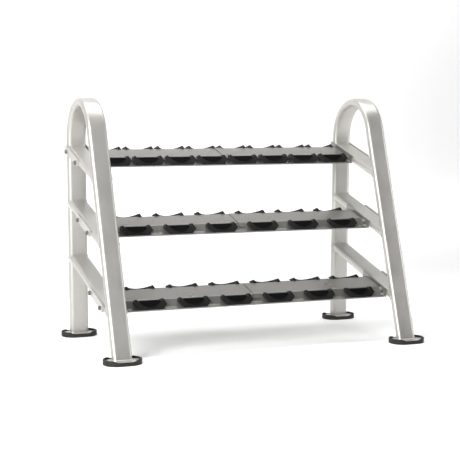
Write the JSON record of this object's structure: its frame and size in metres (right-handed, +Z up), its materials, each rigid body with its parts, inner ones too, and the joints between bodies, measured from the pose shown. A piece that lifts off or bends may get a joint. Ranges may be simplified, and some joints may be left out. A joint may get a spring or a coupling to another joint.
{
  "type": "dumbbell rack",
  "caption": "Three-tier saddle dumbbell rack with bent flat-oval tube end frames, tilted folded-steel shelves, black moulded saddles and rubber-booted feet.",
  "frame": {"origin": "middle of the footprint on the floor: bounding-box bottom centre", "axes": "+X across the rack, -Y to the front, +Z up"},
  "size_m": [1.547, 0.8268, 1.12],
  "materials": {
    "frame_paint": "metallic silver, semi gloss",
    "shelf_paint": "metallic silver, satin",
    "saddle_plastic": "moulded, fine grain",
    "boot_rubber": "matte",
    "zinc_steel": "zinc plated"
  },
  "bodies": {
    "root": {"left_rear_leg": "frame_paint", "left_arch": "frame_paint", "left_front_leg": "frame_paint", "right_rear_leg": "frame_paint", "right_arch": "frame_paint", "right_front_leg": "frame_paint", "top_left_crossbar": "frame_paint", "top_right_crossbar": "frame_paint", "middle_left_crossbar": "frame_paint", "middle_right_crossbar": "frame_paint", "bottom_left_crossbar": "frame_paint", "bottom_right_crossbar": "frame_paint", "left_front_base_plate": "frame_paint", "left_rear_base_plate": "frame_paint", "right_front_base_plate": "frame_paint", "right_rear_base_plate": "frame_paint", "left_front_boot": "boot_rubber", "left_rear_boot": "boot_rubber", "right_front_boot": "boot_rubber", "right_rear_boot": "boot_rubber", "top_shelf": "shelf_paint", "middle_shelf": "shelf_paint", "bottom_shelf": "shelf_paint", "top_left_bracket": "shelf_paint", "top_right_bracket": "shelf_paint", "middle_left_bracket": "shelf_paint", "middle_right_bracket": "shelf_paint", "bottom_left_bracket": "shelf_paint", "bottom_right_bracket": "shelf_paint", "top_left_backing": "frame_paint", "top_right_backing": "frame_paint", "middle_left_backing": "frame_paint", "middle_right_backing": "frame_paint", "bottom_left_backing": "frame_paint", "bottom_right_backing": "frame_paint", "top_strap": "shelf_paint", "middle_strap": "shelf_paint", "bottom_strap": "shelf_paint", "top_front_saddles": "saddle_plastic", "top_rear_saddles": "saddle_plastic", "middle_front_saddles": "saddle_plastic", "middle_rear_saddles": "saddle_plastic", "bottom_front_saddles": "saddle_plastic", "bottom_rear_saddles": "saddle_plastic", "top_saddle_screws": "zinc_steel", "middle_saddle_screws": "zinc_steel", "bottom_saddle_screws": "zinc_steel", "top_bolts": "zinc_steel", "middle_bolts": "zinc_steel", "bottom_bolts": "zinc_steel", "top_washers": "zinc_steel", "middle_washers": "zinc_steel", "bottom_washers": "zinc_steel", "top_nuts": "zinc_steel", "middle_nuts": "zinc_steel", "bottom_nuts": "zinc_steel", "top_rivets": "zinc_steel", "middle_rivets": "zinc_steel", "bottom_rivets": "zinc_steel"}
  },
  "joints": []
}
